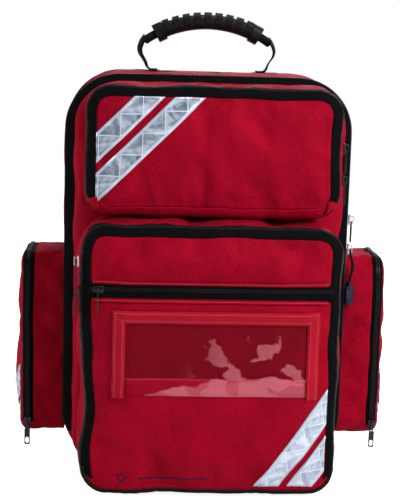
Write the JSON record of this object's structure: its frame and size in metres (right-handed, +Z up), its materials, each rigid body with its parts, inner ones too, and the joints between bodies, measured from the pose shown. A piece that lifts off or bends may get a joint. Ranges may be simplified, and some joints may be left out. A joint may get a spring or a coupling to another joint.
{
  "type": "trauma backpack",
  "caption": "Red emergency backpack with a clamshell lid, front and side zip pockets, reflective tapes, a clear label window, padded straps and a moulded carrying handle.",
  "frame": {"origin": "middle of the base, level with the surface it stands on", "axes": "+Z up, +X to the right seen from the front, +Y to the wearer's back"},
  "size_m": [0.4652, 0.3393, 0.5725],
  "materials": {
    "red_fabric": "coated 600D polyester, plain weave",
    "black_webbing": "woven polyester webbing",
    "zip_black": "woven tape with a nylon coil",
    "reflective": "prismatic reflective tape",
    "clear_vinyl": "clear soft PVC",
    "zip_metal": "plated die-cast",
    "grip_rubber": "moulded, matt",
    "navy_plastic": "soft moulded tag",
    "black_mesh": "spacer mesh over foam",
    "lining": "grey coated lining",
    "stiffener": "polyethylene sheet",
    "buckle_plastic": "moulded acetal"
  },
  "bodies": {
    "pack_body": {"rear_gusset": "red_fabric", "back_panel": "red_fabric", "frame_sheet": "stiffener", "back_pads": "black_mesh", "rear_piping": "black_webbing", "main_zip_rear": "zip_black", "inner_pouches": "lining", "shoulder_straps": "black_mesh", "strap_webbing": "black_webbing", "ladder_locks": "buckle_plastic", "side_pocket_gussets": "red_fabric", "side_zip_fixed": "zip_black", "handle_anchors": "black_webbing"},
    "main_lid": {"lid_gusset": "red_fabric", "lid_panel": "red_fabric", "main_zip_lid": "zip_black", "lid_mesh_pocket": "black_mesh", "upper_pocket_gusset": "red_fabric", "upper_zip_fixed": "zip_black", "lower_pocket_gusset": "red_fabric", "lower_zip_fixed": "zip_black"},
    "upper_door": {"upper_flap": "red_fabric", "upper_zip_flap": "zip_black", "upper_reflective": "reflective"},
    "lower_door": {"lower_flap": "red_fabric", "lower_zip_flap": "zip_black", "lower_reflective": "reflective", "front_zip": "zip_black", "front_pocket_liner": "lining", "id_window": "clear_vinyl", "id_frame": "red_fabric"},
    "side_door_left": {"side_flap_left": "red_fabric", "side_zip_left": "zip_black", "side_reflective_left": "reflective"},
    "side_door_right": {"side_flap_right": "red_fabric", "side_zip_right": "zip_black", "side_reflective_right": "reflective"},
    "carry_handle": {"handle_grip": "grip_rubber", "handle_core": "black_webbing", "handle_legs": "black_webbing"},
    "zip_slider_main_1": {"slider_main_1": "zip_metal"},
    "zip_pull_main_1": {"pull_main_1": "zip_metal"},
    "zip_slider_main_2": {"slider_main_2": "zip_metal"},
    "zip_pull_main_2": {"main_pull_cord": "black_webbing", "main_pull_tag": "navy_plastic"},
    "zip_slider_upper_1": {"slider_upper_1": "zip_metal"},
    "zip_pull_upper_1": {"pull_upper_1": "zip_metal"},
    "zip_slider_upper_2": {"slider_upper_2": "zip_metal"},
    "zip_pull_upper_2": {"pull_upper_2": "zip_metal"},
    "zip_slider_lower_1": {"slider_lower_1": "zip_metal"},
    "zip_pull_lower_1": {"pull_lower_1": "zip_metal"},
    "zip_slider_lower_2": {"slider_lower_2": "zip_metal"},
    "zip_pull_lower_2": {"pull_lower_2": "zip_metal"},
    "zip_slider_front": {"slider_front": "zip_metal"},
    "zip_pull_front": {"pull_front": "zip_metal"},
    "zip_slider_side_left": {"slider_side_left": "zip_metal"},
    "zip_pull_side_left": {"pull_side_left": "zip_metal"},
    "zip_slider_side_right": {"slider_side_right": "zip_metal"},
    "zip_pull_side_right": {"pull_side_right": "zip_metal"}
  },
  "joints": [
    {"name": "main_lid_hinge", "type": "hinge", "parent": "pack_body", "child": "main_lid", "pos_m": [0, 0.0075, 0], "axis": [1, 0, 0], "range_deg": [0, 100]},
    {"name": "upper_door_hinge", "type": "hinge", "parent": "main_lid", "child": "upper_door", "pos_m": [0, -0.0975, 0.334], "axis": [1, 0, 0], "range_deg": [0, 80]},
    {"name": "lower_door_hinge", "type": "hinge", "parent": "main_lid", "child": "lower_door", "pos_m": [0, -0.1225, 0.005], "axis": [1, 0, 0], "range_deg": [0, 85]},
    {"name": "side_door_left_hinge", "type": "hinge", "parent": "pack_body", "child": "side_door_left", "pos_m": [-0.232, 0.067, 0.035], "axis": [0, -1, 0], "range_deg": [0, 95]},
    {"name": "side_door_right_hinge", "type": "hinge", "parent": "pack_body", "child": "side_door_right", "pos_m": [0.232, 0.067, 0.035], "axis": [0, 1, 0], "range_deg": [0, 95]},
    {"name": "handle_fold", "type": "hinge", "parent": "pack_body", "child": "carry_handle", "pos_m": [0, 0.098, 0.499], "axis": [1, 0, 0], "range_deg": [-65, 65]},
    {"name": "slide_main_1", "type": "slide", "parent": "main_lid", "child": "zip_slider_main_1", "axis": [0, 0, 1], "range_m": [0, 0.1]},
    {"name": "swing_main_1", "type": "hinge", "parent": "zip_slider_main_1", "child": "zip_pull_main_1", "pos_m": [0.1819, 0.0075, 0.3176], "axis": [0, -1, 0], "range_deg": [0, 120]},
    {"name": "slide_main_2", "type": "slide", "parent": "main_lid", "child": "zip_slider_main_2", "axis": [0, 0, -1], "range_m": [0, 0.2]},
    {"name": "swing_main_2", "type": "hinge", "parent": "zip_slider_main_2", "child": "zip_pull_main_2", "pos_m": [0.1819, 0.0075, 0.282], "axis": [0, -1, 0], "range_deg": [0, 110]},
    {"name": "slide_upper_1", "type": "slide", "parent": "upper_door", "child": "zip_slider_upper_1", "axis": [0, 0, 1], "range_m": [0, 0.032]},
    {"name": "swing_upper_1", "type": "hinge", "parent": "zip_slider_upper_1", "child": "zip_pull_upper_1", "pos_m": [0.1549, -0.0905, 0.4156], "axis": [0, -1, 0], "range_deg": [0, 120]},
    {"name": "slide_upper_2", "type": "slide", "parent": "upper_door", "child": "zip_slider_upper_2", "axis": [0, 0, -1], "range_m": [0, 0.01]},
    {"name": "swing_upper_2", "type": "hinge", "parent": "zip_slider_upper_2", "child": "zip_pull_upper_2", "pos_m": [0.1549, -0.0905, 0.3786], "axis": [0, -1, 0], "range_deg": [0, 120]},
    {"name": "slide_lower_1", "type": "slide", "parent": "lower_door", "child": "zip_slider_lower_1", "axis": [0, 0, 1], "range_m": [0, 0.006]},
    {"name": "swing_lower_1", "type": "hinge", "parent": "zip_slider_lower_1", "child": "zip_pull_lower_1", "pos_m": [-0.1579, -0.1155, 0.2816], "axis": [0, 1, 0], "range_deg": [0, 120]},
    {"name": "slide_lower_2", "type": "slide", "parent": "lower_door", "child": "zip_slider_lower_2", "axis": [0, 0, -1], "range_m": [0, 0.2]},
    {"name": "swing_lower_2", "type": "hinge", "parent": "zip_slider_lower_2", "child": "zip_pull_lower_2", "pos_m": [-0.1579, -0.1155, 0.2446], "axis": [0, 1, 0], "range_deg": [0, 120]},
    {"name": "slide_front", "type": "slide", "parent": "lower_door", "child": "zip_slider_front", "axis": [1, 0, 0], "range_m": [0, 0.264]},
    {"name": "swing_front", "type": "hinge", "parent": "zip_slider_front", "child": "zip_pull_front", "pos_m": [-0.132, -0.1308, 0.253], "axis": [-1, 0, 0], "range_deg": [0, 120]},
    {"name": "slide_side_left", "type": "slide", "parent": "side_door_left", "child": "zip_slider_side_left", "axis": [0, 0, 1], "range_m": [0, 0.2]},
    {"name": "swing_side_left", "type": "hinge", "parent": "zip_slider_side_left", "child": "zip_pull_side_left", "pos_m": [-0.222, 0.0111, 0.0476], "axis": [-1, 0, 0], "range_deg": [0, 120]},
    {"name": "slide_side_right", "type": "slide", "parent": "side_door_right", "child": "zip_slider_side_right", "axis": [0, 0, 1], "range_m": [0, 0.2]},
    {"name": "swing_side_right", "type": "hinge", "parent": "zip_slider_side_right", "child": "zip_pull_side_right", "pos_m": [0.222, 0.0111, 0.0476], "axis": [-1, 0, 0], "range_deg": [0, 120]}
  ]
}
